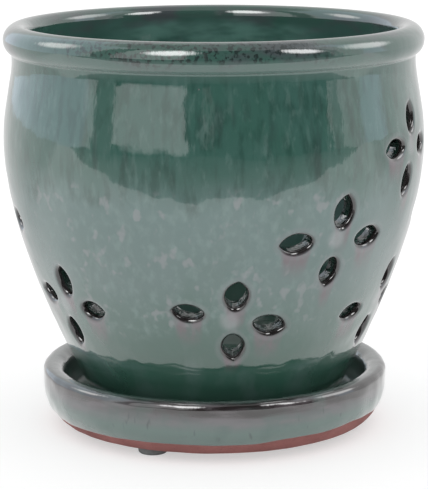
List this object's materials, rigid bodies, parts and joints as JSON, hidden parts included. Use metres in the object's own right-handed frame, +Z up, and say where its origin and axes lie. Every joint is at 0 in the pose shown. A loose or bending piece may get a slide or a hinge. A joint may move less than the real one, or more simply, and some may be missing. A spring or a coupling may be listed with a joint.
{
  "type": "orchid pot with saucer",
  "caption": "Glazed ceramic orchid pot with flowers of leaf-shaped air slots through its wall and a rolled rim, standing in a round saucer on rubber feet.",
  "frame": {"origin": "centre of the footprint, on the surface that the rubber feet stand on", "axes": "+Z up along the pot's axis; the front of the pot looks along -Y, with the slot pyramids centred 64.7 degrees from the front towards +X and opposite"},
  "size_m": [0.1658, 0.1658, 0.1601],
  "materials": {
    "sea_green_glaze": "glossy, mottled jade to sea green",
    "foot_rubber": "matte grey"
  },
  "bodies": {
    "saucer": {"saucer": "sea_green_glaze", "rubber_foot_1": "foot_rubber", "rubber_foot_2": "foot_rubber", "rubber_foot_3": "foot_rubber"},
    "pot": {"pot": "sea_green_glaze"}
  },
  "joints": [
    {"name": "pot_lift", "type": "slide", "parent": "saucer", "child": "pot", "axis": [0, 0, 1], "range_m": [0, 0.04]}
  ]
}
